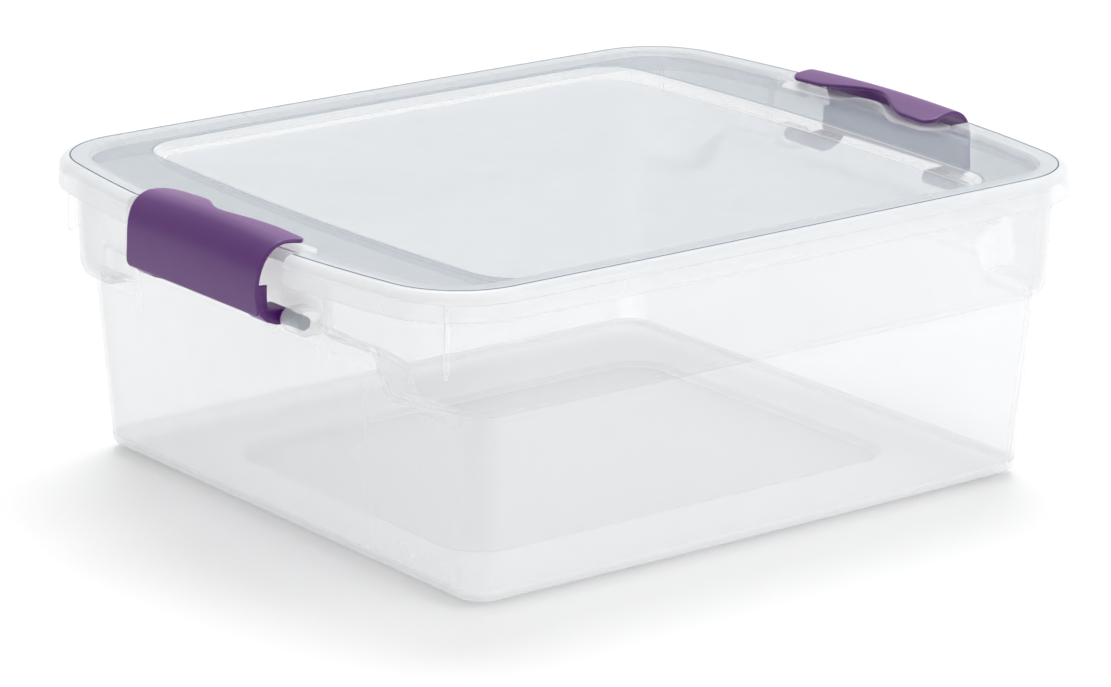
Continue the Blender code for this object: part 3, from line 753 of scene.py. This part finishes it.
def tub_rings(wall, bead):
    """Rings of the tub, from under the foot up the outside and down the inside."""
    foot, rings = FOOT_HEIGHT, []
    for reach, height in (
        (-0.0006, 0.0), (0.0, 0.0001), (0.0009, 0.0005), (0.0032, foot - 0.0005),
        (0.0042, foot - 0.00008), (0.0055, foot),
    ):
        rings.append(level(foot_outline(reach), height))
    for step in range(8):
        angle = math.pi / 2 * step / 7
        reach, height = -FILLET * (1.0 - math.sin(angle)), foot + FILLET * (1.0 - math.cos(angle))
        rings.append(level(base_outline(reach), height))
    base_high = foot + FILLET
    low, high = level(base_outline(0.0), base_high), level(wall_outline(0.0), WALL_TOP)
    for share in (0.02, 0.3, 0.7):
        rings.append(between(low, high, share))
    for share, height, latch_height in shelf_steps():
        rings.append(shelf_ring(share, height, latch_height, 0.0))
    top, bay = BAND_TOP, BAND_TOP - 0.0033
    bead_top = top - 0.0036
    out = 0.0013
    for lean in (0.3, 0.6):
        height = 0.1065 + (bead_top - 0.0018 - 0.1065) * lean
        bay_height = 0.121 + (bay - 0.0018 - 0.121) * lean
        rings.append(band_ring(0.0, lean * 0.92, height, out * lean, bay_height))
    rings.append(band_ring(0.0, 0.92, bead_top - 0.0019, out, bay - 0.0018))
    rings.append(band_ring(0.0004, 0.92, bead_top - 0.00175, out, bay - 0.0016))
    for degrees in range(-90, 91, 30):
        angle = math.radians(degrees)
        reach = bead - 0.0008 * (1.0 - math.cos(angle))
        height = bead_top - 0.0008 + 0.0008 * math.sin(angle)
        bay_height = bay - 0.0011 + 0.0004 * math.sin(angle)
        rings.append(band_ring(reach, 0.94, height, out, bay_height))
    rings.append(band_ring(0.0003, 0.96, bead_top + 0.0001, out, bay - 0.0005))
    for degrees in (0, 30, 60, 90, 120, 150, 180):
        angle = math.radians(degrees)
        reach = -wall / 2 * (1.0 - math.cos(angle))
        height = 0.0006 * (math.sin(angle) - 1.0)
        rings.append(band_ring(reach, 1.0, top + height, out + reach, bay + height * 0.5))
    for share, height, latch_height in reversed(shelf_steps()):
        rings.append(shelf_ring(share, height + wall, latch_height + wall, -wall))
    low, high = level(base_outline(-wall), base_high), level(wall_outline(-wall), WALL_TOP + wall)
    for share in (0.7, 0.3):
        rings.append(between(low, high, share))
    floor = foot + wall
    inner = FILLET - wall * 0.4
    for step in range(7, -1, -1):
        angle = math.pi / 2 * step / 7
        reach = -wall - inner * (1.0 - math.sin(angle))
        rings.append(level(base_outline(reach), floor + inner * (1.0 - math.cos(angle))))
    for reach, height in (
        (0.005, floor), (0.0036, floor - 0.0001), (0.0027, floor - 0.0006),
        (0.0003, wall + 0.0005), (-0.0007, wall + 0.0001), (-0.002, wall),
    ):
        rings.append(level(foot_outline(reach), height))
    return rings


def fin_mesh(thickness, height, top):
    """One corner fin, pointing out along X, with rounded edges."""
    low, high = BAND_CORNER - 0.001, BAND_CORNER + 0.0062
    foot = top - height
    profile = [(low, foot + 0.004), (low, top), (high, top), (high, foot + 0.001)]
    profile.append((high - 0.001, foot))
    return rounded_solid("corner_fin", profile, -thickness / 2, thickness / 2, 0.0004, 2)


def socket_mesh(bore, length):
    """One pin socket with its arm back to the wall, along Y through the hinge axis."""
    radius = bore + 0.0026
    arc = []
    for step in range(25):
        angle = math.pi / 2 - math.pi * step / 24
        arc.append((radius * math.cos(angle), radius * math.sin(angle)))
    profile = [(-0.0078, -radius * 0.96), (-0.0078, radius * 0.96)] + arc
    return rounded_solid("pin_socket", profile, -length / 2, length / 2, 0.0004, 2)


class BIN_OT_tub(bpy.types.Operator):
    """Build the clear tub with its bead, corner fins and pin sockets"""

    bl_idname = "storage_bin.tub"
    bl_label = "Tub"

    def execute(self, context):
        sizes = context.scene.storage_bin_tub
        material = clear_plastic("clear_tub_plastic", sizes.plastic, sizes.shadow, 0.1, 0.6)
        rings = tub_rings(sizes.wall, sizes.bead)
        tub = placed("tub_shell", ring_shell("tub_shell", rings, tub_tones(rings)), material)
        centre_x = BAND_LENGTH - BAND_BOW - BAND_CORNER
        centre_y = BAND_WIDTH - SIDE_BOW - BAND_CORNER
        fins = at_four_corners(
            "corner_fins",
            fin_mesh(sizes.fin_thickness, sizes.fin_height, BAND_TOP - 0.0045),
            centre_x, centre_y, math.radians(42), 0.0, material,
        )
        bore = context.scene.storage_bin_latch.pin / 2 + PIN_CLEARANCE
        middle = SOCKET_START + SOCKET_LENGTH / 2
        sockets = at_four_corners(
            "pin_sockets", socket_mesh(bore, SOCKET_LENGTH),
            LATCH_PIVOT.x, middle, 0.0, LATCH_PIVOT.z, material,
        )
        combined(tub, merged("tub_details", (fins, sockets), FAINT), "UNION")
        bores = []
        for side in (1, -1):
            for way in (1, -1):
                near, far = sorted((way * (middle - BORE_BEHIND), way * (middle + BORE_AHEAD)))
                hole = rounded_solid("pin_bore", circle(bore, 40), near, far, 0.0, 1)
                hole.transform(Matrix.Translation((side * LATCH_PIVOT.x, 0.0, LATCH_PIVOT.z)))
                bores.append(placed("pin_bore", hole, material))
        # Painted shade: the faces left inside each pin bore take the dark line tone.
        combined(tub, merged("pin_bores", bores, PAINTED_DARK_LINE), "DIFFERENCE")
        smoothed(tub.data)
        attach(tub, "tub")
        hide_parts("bin_body")
        return {"FINISHED"}


# ---------------------------------------------------------------- lid


def skirt_points(outer, foot, radius, top, wall, groove):
    """Reach and height from the skirt's inner foot, round its edge to the rim's crease."""
    points = []
    half = wall / 2
    for degrees in range(-180, 1, 30):
        angle = math.radians(degrees)
        reach, height = outer - half + half * math.cos(angle), foot + half + half * math.sin(angle)
        points.append((reach, height))
    lean = 0.0003
    centre = outer - lean - radius
    low, high = foot + wall, top - radius
    for share in (0.15, 0.5, 0.85):
        points.append((outer - lean * share, low + (high - low) * share))
    for step in range(10):
        angle = math.radians(82 * step / 9)
        points.append((centre + radius * math.cos(angle), top - radius + radius * math.sin(angle)))
    last = points[-1][0]
    for share, drop in ((1.0, 0.00012), (1.5, 0.0004), (2.3, 0.0004), (2.8, 0.00005)):
        points.append((last - groove * share, top - drop))
    return points


def under_points(outer, foot, radius, top, wall):
    """Reach and height under the rim, from its inside down to the skirt's inner foot."""
    inner = max(radius - wall, 0.0004)
    centre = outer - wall - 0.0003 - inner
    points = [(centre - 0.0002, top - wall)]
    for step in range(7):
        angle = math.radians(90 - 90 * step / 6)
        height = top - wall - inner + inner * math.sin(angle)
        points.append((centre + inner * math.cos(angle), height))
    low = foot + wall
    high = top - wall - inner
    for share in (0.7, 0.3):
        points.append((outer - wall, low + (high - low) * share))
    return points


def rim_ring(point, notch_point):
    """Ring of the lid's rim and skirt, with its own form beside each latch."""
    plain = level(rim_outline(point[0]), point[1])
    notched = level(rim_outline(notch_point[0]), notch_point[1])
    return mixed(plain, notched, NOTCH)


def lid_rings(wall, skirt, recess):
    """Rings of the lid over the top, from the skirt's foot to the recess, and underneath."""
    top, ledge = RIM_TOP, RIM_TOP - LEDGE_DROP
    foot, notch_foot = top - skirt, top - 0.0085
    upper = [
        rim_ring(a, b) for a, b in zip(
            skirt_points(0.0075, foot, 0.0055, top, wall, 0.0004),
            skirt_points(-0.0045, notch_foot, 0.0009, ledge, wall, 0.00008),
        )
    ]
    for reach, drop in ((-0.0066, 0.0), (-0.0071, 0.00008), (-0.00745, 0.0004)):
        upper.append(rim_ring((reach, top - drop), (reach, ledge - drop * 0.6)))
    upper.append(rim_ring((-0.0083, FIELD + 0.0009), (-0.0083, FIELD + 0.0007)))
    for reach, lift in ((-0.00865, 0.00035), (-0.0091, 0.00008), (-0.0097, 0.0)):
        upper.append(level(rim_outline(reach), FIELD + lift))
    floor = FIELD - recess
    for reach, height in (
        (0.0012, FIELD), (0.0005, FIELD - 0.0001), (-0.0001, FIELD - 0.00045),
        (-0.0006, FIELD - 0.0010), (-0.0026, FIELD - 0.0031), (-0.0046, floor + 0.0011),
        (-0.0052, floor + 0.00045), (-0.0060, floor + 0.0001), (-0.0070, floor),
    ):
        upper.append(level(recess_outline(reach), height))
    under = [
        level(recess_outline(reach), height - wall) for reach, height in (
            (-0.0058, floor), (-0.0050, floor + 0.00012), (-0.0043, floor + 0.0005),
            (-0.0037, floor + 0.0011), (-0.0018, FIELD - 0.0031), (0.0002, FIELD - 0.0010),
            (0.0008, FIELD - 0.0004), (0.0015, FIELD - 0.0001), (0.0024, FIELD),
        )
    ]
    for reach, lift in ((-0.0088, 0.0), (-0.0079, 0.0001)):
        under.append(level(rim_outline(reach), FIELD - wall + lift))
    under.append(rim_ring((-0.0073, FIELD - wall + 0.0009), (-0.0073, FIELD - wall + 0.0006)))
    under.append(rim_ring((-0.0064, top - wall - 0.0002), (-0.0067, ledge - wall - 0.0001)))
    under += [
        rim_ring(a, b) for a, b in zip(
            under_points(0.0075, foot, 0.0055, top, wall),
            under_points(-0.0045, notch_foot, 0.0009, ledge, wall),
        )
    ]
    return upper, under


def lid_tones(bands):
    """Tone of each band of the lid, from the recess out: painted shade on the frosted recess floor,
    its top edge, the field, the rim's inner shoulder and a dark line in the rim's groove, painted
    highlights along the recess wall and round the rim's edge; the rest underneath is clear.
    """
    tones = [RECESS_FROST_AND_SHADE] * 2 + [PAINTED_HIGHLIGHT, FAINT, MILKY, PAINTED_HIGHLIGHT, EDGE_PAINTED_SHADE, EDGE_PAINTED_SHADE]
    tones += [FIELD_PAINTED_SHADE] * 3 + [SHOULDER_PAINTED_SHADE] * 5 + [PAINTED_DARK_LINE] * 3
    tones += [PAINTED_HIGHLIGHT] * 10 + [MILKY] * 10
    return tones + [CLEAR] * (bands - len(tones))


def lip_edge(y, half):
    """How far a latch's lip reaches in from the hinge axis at a place across it."""
    if y < LIP_DIP_Y:
        reach = LIP_DIP + 0.0132 * rise(-y, -LIP_DIP_Y, LIP_LOBE_Y)
    else:
        reach = LIP_DIP + 0.0092 * rise(y, LIP_DIP_Y, LIP_LOBE_Y)
    past = max(abs(y) - (half - LIP_CORNER), 0.0) / LIP_CORNER
    return reach - LIP_CORNER * (1.0 - math.sqrt(max(1.0 - past * past, 0.0)))


def land_mesh(side, height):
    """Raised land on the field that goes round a latch's lip, up to the notch in the rim."""
    mesh = bpy.data.meshes.new("lip_land")
    work = bmesh.new()
    reach_past, end_round, half = 0.0044, 0.009, 0.0585
    wide = half + 0.0052
    rows = []
    for step in range(121):
        y = wide * math.sin(math.pi / 2 * (step - 60) / 60) * 0.9995
        across = max(min(y * half / wide, half - 0.0022), 0.0022 - half)
        inner = lip_edge(across, half) + reach_past
        past = max(abs(y) - (wide - end_round), 0.0) / end_round
        inner = 0.0042 + (inner - 0.0042) * math.sqrt(max(1.0 - past * past, 0.0))
        edge = LATCH_PIVOT.x - inner
        back = max(HALF_LENGTH - 0.0078 - END_BOW * (y / 0.12) ** 2, edge + 0.0036)
        top = FIELD + height
        lift = 0.0021 * rise(0.021 - abs(y + 0.001), 0.0, 0.016)
        row = [(back, FIELD - 0.0006), (back, top), (edge + 0.0031, top)]
        row += [(edge + 0.0028, top + lift), (edge + 0.0013, top + lift)]
        row.append((edge + 0.0007, top + lift - 0.0002))
        row += [(edge + 0.0003, top + lift * 0.6 - 0.0005), (edge, FIELD - 0.0006)]
        rows.append([work.verts.new((x * side, y * side, z)) for x, z in row])
    for near, far in zip(rows, rows[1:]):
        for index in range(8):
            after = (index + 1) % 8
            work.faces.new((near[index], near[after], far[after], far[index]))
    work.faces.new(rows[0])
    work.faces.new(rows[-1])
    bmesh.ops.recalc_face_normals(work, faces=work.faces)
    work.to_mesh(mesh)
    work.free()
    return mesh


class BIN_OT_lid(bpy.types.Operator):
    """Build the clear lid with its rim, field, stacking recess and latch ridges"""

    bl_idname = "storage_bin.lid"
    bl_label = "Lid"

    def execute(self, context):
        sizes = context.scene.storage_bin_lid
        material = clear_plastic("clear_lid_plastic", sizes.plastic, sizes.shadow, 0.1, 0.5)
        upper, under = lid_rings(sizes.wall, sizes.skirt, sizes.recess)
        rings = list(reversed(upper)) + list(reversed(under))
        shell = ring_shell("lid_shell", rings, lid_tones(len(rings) - 1))
        lid = placed("lid_shell", shell, material)
        lands = []
        for side in (1, -1):
            lands.append(placed("lip_land", land_mesh(side, sizes.land), material))
        combined(lid, merged("lip_lands", lands, LAND_TONE), "UNION")
        smoothed(lid.data)
        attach(lid, "lid")
        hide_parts("lid")
        return {"FINISHED"}


# ---------------------------------------------------------------- latches


def curve_point(points, share):
    """Point and direction on a cubic curve in X and Z."""
    a, b, c, d = points
    rest = 1.0 - share
    place = a * rest ** 3 + b * 3 * rest ** 2 * share
    place = place + c * 3 * rest * share ** 2 + d * share ** 3
    slope = (b - a) * rest ** 2 + (c - b) * 2 * rest * share + (d - c) * share ** 2
    return place, slope.normalized()


def latch_curves():
    """Outer face of the latch beside its hinge axis: the plate, then the lip."""
    tip = RIM_TOP - LEDGE_DROP - LATCH_PIVOT.z + 0.0024
    crest = tip + 0.0036
    start, end = Vector((0.0162, 0.002)), Vector((0.002, crest))
    low = Vector((0.018, 0.002 + (crest - 0.002) * 0.4))
    high = Vector((0.01746, crest - 0.00144))
    middle, fall = Vector((-0.004, crest)), Vector((-0.00992, tip + 0.00223))
    return (start, low, high, end), (end, middle, fall, Vector((-0.016, tip)))


def lip_share(lip, reach):
    """Share of the lip's curve at which it has come in by a reach."""
    low, high = 0.0, 1.0
    for _ in range(26):
        middle = (low + high) / 2
        if -curve_point(lip, middle)[0].x < reach:
            low = middle
        else:
            high = middle
    return high


def half_width(height, crest):
    """Half width of the latch at a height above its hinge axis."""
    corner = 0.0038
    short = min(max((0.002 + corner - height) / corner, 0.0), 1.0)
    rounding = corner * (1.0 - math.sqrt(1.0 - short * short))
    if height < WAIST_HEIGHT:
        return LATCH_HALF - WAIST_DEPTH * rise(height, 0.0, WAIST_HEIGHT) - rounding
    return LATCH_HALF - WAIST_DEPTH + 0.002 * rise(height, WAIST_HEIGHT, crest)


def edge_places():
    """Places across the latch from -1 to 1, close together at both edges."""
    inner = [-0.97 + 1.94 * step / 64 for step in range(65)]
    close = [1.0, 0.9985, 0.9955, 0.991, 0.985, 0.978]
    return sorted(inner + close + [-place for place in close])


def latch_grid(depth, rounded):
    """Rows of points at a depth behind the latch's outer face."""
    plate, lip = latch_curves()
    crest = plate[3].y
    plate_steps, starts = 44, [0.0, 0.004, 0.012, 0.025]
    lip_parts = [0.08, 0.2, 0.35, 0.5, 0.64, 0.76, 0.85, 0.91, 0.95, 0.975, 0.99, 1.0]
    shares = starts + [0.04 + 0.96 * step / plate_steps for step in range(plate_steps + 1)]
    rows = []
    for share, part in [(share, None) for share in shares] + [(None, part) for part in lip_parts]:
        row = []
        for place in edge_places():
            if part is None:
                point, slope = curve_point(plate, share)
                half = half_width(point.y, crest)
                y = place * half
                edge = min(half - abs(y), share * 0.06)
            else:
                half = LIP_HALF + 0.0006 * part
                y = place * half
                reach = lip_edge(y, half)
                point, slope = curve_point(lip, lip_share(lip, reach) * part)
                edge = min(half - abs(y), (reach + 0.002) * (1.0 - part))
            short = 1.0 - min(edge / 0.0011, 1.0)
            back = depth + rounded * (1.0 - math.sqrt(1.0 - short * short))
            arch = 0.0015 * (1.0 - place * place) * max(point.y, 0.0) / crest
            spot = point + Vector((-slope.y, slope.x)) * back
            row.append(Vector((spot.x, y, spot.y + arch)))
        rows.append(row)
    return rows


def latch_slab(work, outer, inner):
    """Add the closed slab between two grids of points."""
    top, bottom = (
        [[work.verts.new(point) for point in row] for row in grid] for grid in (outer, inner)
    )
    last, end = len(outer) - 1, len(outer[0]) - 1

    def face(near, far, column):
        work.faces.new((near[column], near[column + 1], far[column + 1], far[column]))

    for rows in (top, bottom):
        for row in range(last):
            for column in range(end):
                face(rows[row], rows[row + 1], column)
    for column in range(end):
        for row in (0, last):
            face(top[row], bottom[row], column)
    for row in range(last):
        for column in (0, end):
            corners = (top[row][column], top[row + 1][column])
            work.faces.new((*corners, bottom[row + 1][column], bottom[row][column]))


def flange_profile(wall):
    """Profile of a side flange behind the plate, with a rounded step at its top."""
    plate = latch_curves()[0]
    outer, inner = [], []
    for step in range(15):
        point, slope = curve_point(plate, 0.05 + 0.36 * step / 14)
        if point.y > 0.018:
            break
        inward = Vector((-slope.y, slope.x))
        outer.append(tuple(point + inward * wall * 0.5))
        depth = 0.0045 * min(1.0, 0.35 + (0.018 - point.y) / 0.0012)
        inner.append(tuple(point + inward * (wall + depth)))
    return outer + inner[::-1]


def added(work, mesh):
    """Add a mesh to the work mesh."""
    work.from_mesh(mesh)
    bpy.data.meshes.remove(mesh)


def latch_mesh(wall, pin):
    """One latch about its hinge axis: plate, lip, flanges, feet, knuckles and pins."""
    work = bmesh.new()
    latch_slab(work, latch_grid(0.0, wall * 0.46), latch_grid(wall, -wall * 0.46))
    knuckle = pin / 2 + 0.0008
    plate = latch_curves()[0]
    mid = wall * 0.6
    low, high = curve_point(plate, 0.03)[0], curve_point(plate, 0.2)[0]
    root = knuckle * 0.97
    foot = [
        (0.0, -root), (low.x * 0.28, -root * 0.97), (low.x * 0.62, -root * 0.4),
        (low.x - mid, low.y), (high.x - mid, high.y), (high.x - mid * 2.6, high.y - 0.0022),
        (low.x * 0.62, root * 1.12), (0.0, root),
    ]
    parts = (
        ("flange", flange_profile(wall), 0.0519, 0.0537, 0.0003, 2),
        ("foot", foot, 0.0403, 0.0533, 0.0005, 2),
        ("knuckle", circle(knuckle, 40), 0.04, LATCH_HALF, 0.0004, 2),
        ("pin", circle(pin / 2, 40), 0.0545, 0.067, 0.0005, 3),
    )
    for way in (-1, 1):
        for label, profile, inner, outer, radius, segments in parts:
            near, far = sorted((way * inner, way * outer))
            added(work, rounded_solid(label, profile, near, far, radius, segments))
    bmesh.ops.recalc_face_normals(work, faces=work.faces)
    mesh = bpy.data.meshes.new("latch")
    work.to_mesh(mesh)
    work.free()
    return mesh


class BIN_OT_latches(bpy.types.Operator):
    """Build the two purple swing latches"""

    bl_idname = "storage_bin.latches"
    bl_label = "Latches"

    def execute(self, context):
        sizes = context.scene.storage_bin_latch
        material = latch_plastic("purple_latch_plastic", sizes.plastic, sizes.painted_sheen)
        for body, turn in LATCH_BODIES.items():
            mesh = latch_mesh(sizes.wall, sizes.pin)
            side = math.cos(turn)
            move = Matrix.Translation((side * LATCH_PIVOT.x, 0.0, LATCH_PIVOT.z))
            mesh.transform(move @ Matrix.Rotation(turn, 4, "Z"))
            latch = placed(body + "_moulding", mesh, material)
            smoothed(mesh, 38)
            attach(latch, body)
            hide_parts(body)
        return {"FINISHED"}


# ---------------------------------------------------------------- stage


def aimed(data, place, target):
    """Put a light at a point, aimed at another."""
    lamp = bpy.data.objects.new(data.name, data)
    bpy.context.scene.collection.objects.link(lamp)
    lamp.location = place
    lamp.rotation_mode = "QUATERNION"
    lamp.rotation_quaternion = (Vector(target) - Vector(place)).to_track_quat("-Z", "Y")


def soft_box(name, place, target, width, height, power):
    """Square soft light aimed at a point."""
    data = bpy.data.lights.new(name, "AREA")
    data.shape = "RECTANGLE"
    data.size = width
    data.size_y = height
    data.energy = power
    aimed(data, place, target)


def soft_sun(name, place, target, spread, strength):
    """Wide distant light that shines from one point towards another."""
    data = bpy.data.lights.new(name, "SUN")
    data.angle = math.radians(spread)
    data.energy = strength
    aimed(data, place, target)


class BIN_OT_stage(bpy.types.Operator):
    """Set the floor, the studio light and the camera"""

    bl_idname = "storage_bin.stage"
    bl_label = "Stage"

    def execute(self, context):
        sizes = context.scene.storage_bin_stage
        mesh = bpy.data.meshes.new("floor")
        reach = 6.0
        corners = ((-reach, -reach), (reach, -reach), (reach, reach), (-reach, reach))
        mesh.from_pydata([(x, y, -0.0002) for x, y in corners], [], [(0, 1, 2, 3)])
        floor = placed("floor", mesh, floor_paint("pale_floor", sizes.floor))
        world = bpy.data.worlds.new("studio")
        world.use_nodes = True
        sky = world.node_tree.nodes["Background"]
        sky.inputs["Color"].default_value = (1.0, 1.0, 1.0, 1.0)
        around = world.node_tree.nodes.new("ShaderNodeTexCoord").outputs["Generated"]
        split = world.node_tree.nodes.new("ShaderNodeSeparateXYZ")
        world.node_tree.links.new(around, split.inputs[0])
        glow = remap(world.node_tree, split.outputs["Z"], 0.0, 0.7, 0.66 * sizes.light, sizes.light)
        world.node_tree.links.new(glow, sky.inputs["Strength"])
        context.scene.world = world
        middle = (0.0, 0.0, 0.08)
        soft_sun("key", (0.62, 0.8, 2.0), middle, 34.0, 1.3)
        soft_box("fill", (1.0, -2.1, 1.1), middle, 1.6, 1.2, 13.0)
        forward = Vector((
            math.sin(sizes.heading) * math.cos(sizes.pitch),
            math.cos(sizes.heading) * math.cos(sizes.pitch),
            -math.sin(sizes.pitch),
        ))
        right = Vector((math.cos(sizes.heading), -math.sin(sizes.heading), 0.0))
        up = right.cross(forward)
        turned = right * math.cos(sizes.roll) + up * math.sin(sizes.roll)
        up = up * math.cos(sizes.roll) - right * math.sin(sizes.roll)
        data = bpy.data.cameras.new("camera")
        data.lens = sizes.lens
        data.sensor_width = SENSOR_WIDTH
        data.clip_end = 60.0
        camera = bpy.data.objects.new("camera", data)
        context.scene.collection.objects.link(camera)
        turn = Matrix((turned, up, -forward)).transposed().to_4x4()
        camera.matrix_world = Matrix.Translation(CAMERA_PLACE) @ turn
        context.scene.camera = camera
        context.scene.view_settings.view_transform = "Standard"
        context.scene.cycles.transparent_max_bounces = 32
        return {"FINISHED"}


class BIN_PT_panel(bpy.types.Panel):
    """Lists the bin's pieces"""

    bl_idname = "BIN_PT_panel"
    bl_label = "Storage Bin"
    bl_space_type = "VIEW_3D"
    bl_region_type = "UI"
    bl_category = "Storage Bin"

    def draw(self, context):
        for operator, group in STEPS:
            box = self.layout.box()
            box.operator(operator.bl_idname)
            settings = getattr(context.scene, group)
            for name in settings.__annotations__:
                box.prop(settings, name)


STEPS = (
    (BIN_OT_tub, "storage_bin_tub"),
    (BIN_OT_lid, "storage_bin_lid"),
    (BIN_OT_latches, "storage_bin_latch"),
    (BIN_OT_stage, "storage_bin_stage"),
)
GROUPS = {
    "storage_bin_tub": BIN_PG_tub,
    "storage_bin_lid": BIN_PG_lid,
    "storage_bin_latch": BIN_PG_latch,
    "storage_bin_stage": BIN_PG_stage,
}


def register():
    """Register the classes and their settings."""
    for name, group in GROUPS.items():
        bpy.utils.register_class(group)
        setattr(bpy.types.Scene, name, bpy.props.PointerProperty(type=group))
    for operator, _ in STEPS:
        bpy.utils.register_class(operator)
    bpy.utils.register_class(BIN_PT_panel)


def unregister():
    """Remove the classes and their settings."""
    bpy.utils.unregister_class(BIN_PT_panel)
    for operator, _ in reversed(STEPS):
        bpy.utils.unregister_class(operator)
    for name, group in GROUPS.items():
        delattr(bpy.types.Scene, name)
        bpy.utils.unregister_class(group)


def main():
    """Register the classes and build the tub, the lid, the latches and the stage."""
    register()
    bpy.ops.storage_bin.tub()
    bpy.ops.storage_bin.lid()
    bpy.ops.storage_bin.latches()
    bpy.ops.storage_bin.stage()


if __name__ == "__main__":
    main()
